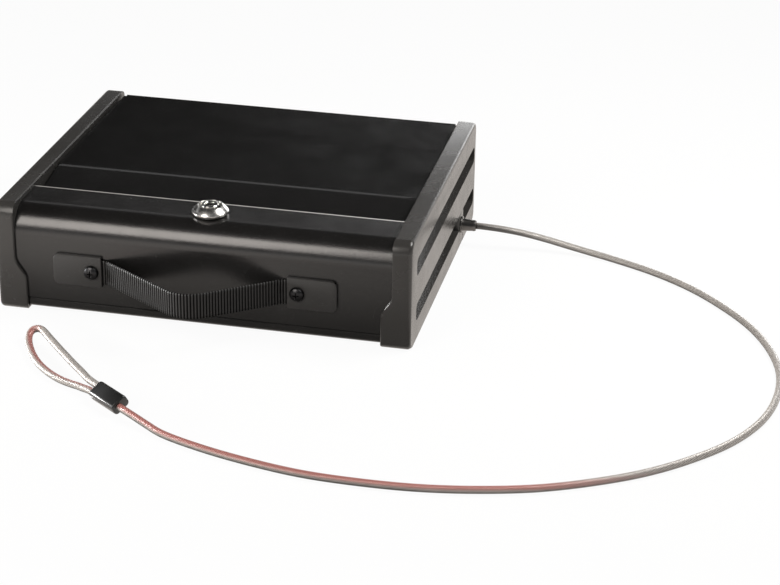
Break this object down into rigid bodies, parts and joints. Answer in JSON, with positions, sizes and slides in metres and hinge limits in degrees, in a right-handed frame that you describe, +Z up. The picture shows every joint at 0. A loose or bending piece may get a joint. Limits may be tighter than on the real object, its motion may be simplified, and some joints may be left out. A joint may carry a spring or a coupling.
{
  "type": "portable car safe",
  "caption": "Flat lockable steel car safe with a rear-hinged lid, moulded end caps, a webbing handle, a tubular key lock and a looped security cable.",
  "frame": {"origin": "bottom centre of the box round the safe and its handle, without the cable, at floor level", "axes": "+X to the right seen from the front, +Y to the rear (hinge side), +Z up"},
  "size_m": [0.6472, 0.5108, 0.0993],
  "materials": {
    "satin_black_paint": "satin",
    "matte_black_paint": "fine matte texture",
    "cap_plastic": "satin moulded plastic",
    "plate_grey_paint": "satin",
    "black_screw": "black oxide",
    "webbing": "ribbed woven webbing",
    "zinc_steel": "bright zinc",
    "lock_chrome": "polished",
    "foam": "fine open-cell foam",
    "boot_rubber": "smooth",
    "coated_cable": "braided steel under a clear coat",
    "ferrule_black": "glossy"
  },
  "bodies": {
    "base": {"tray": "satin_black_paint", "front_bar": "satin_black_paint", "end_cap_left": "cap_plastic", "end_cap_right": "cap_plastic", "cap_screw_left_front": "zinc_steel", "cap_screw_left_rear": "zinc_steel", "cap_screw_right_front": "zinc_steel", "cap_screw_right_rear": "zinc_steel", "foam_floor": "foam", "foam_left": "foam", "foam_right": "foam", "handle_plate_left": "plate_grey_paint", "handle_plate_right": "plate_grey_paint", "handle_screw_left": "black_screw", "handle_screw_right": "black_screw", "handle_washer_left": "zinc_steel", "handle_washer_right": "zinc_steel", "handle_nut_left": "zinc_steel", "handle_nut_right": "zinc_steel", "handle_strap": "webbing", "lock_collar": "lock_chrome", "lock_housing": "lock_chrome", "lock_washer": "zinc_steel", "lock_nut": "zinc_steel", "lock_guard": "satin_black_paint", "hinge_leaf_base": "satin_black_paint", "hinge_pin": "zinc_steel", "cable_outlet_block": "cap_plastic", "cable_anchor_stud": "zinc_steel", "cable_boot": "boot_rubber", "cable_run": "coated_cable", "cable_loop": "coated_cable", "cable_ferrule": "ferrule_black"},
    "lid": {"lid_panel": "matte_black_paint", "striker_plate": "zinc_steel", "lid_stiffener": "matte_black_paint", "lid_foam_front": "foam", "lid_foam_rear": "foam", "hinge_leaf_lid": "satin_black_paint"},
    "lock": {"lock_plug": "lock_chrome", "lock_cam": "zinc_steel", "lock_cam_screw": "zinc_steel"}
  },
  "joints": [
    {"name": "lid_hinge", "type": "hinge", "parent": "base", "child": "lid", "pos_m": [0, 0.1647, 0.0871], "axis": [-1, 0, 0], "range_deg": [0, 100]},
    {"name": "lock_turn", "type": "hinge", "parent": "base", "child": "lock", "pos_m": [0, -0.09, 0.0625], "axis": [0, 0, 1], "range_deg": [0, 90]}
  ]
}
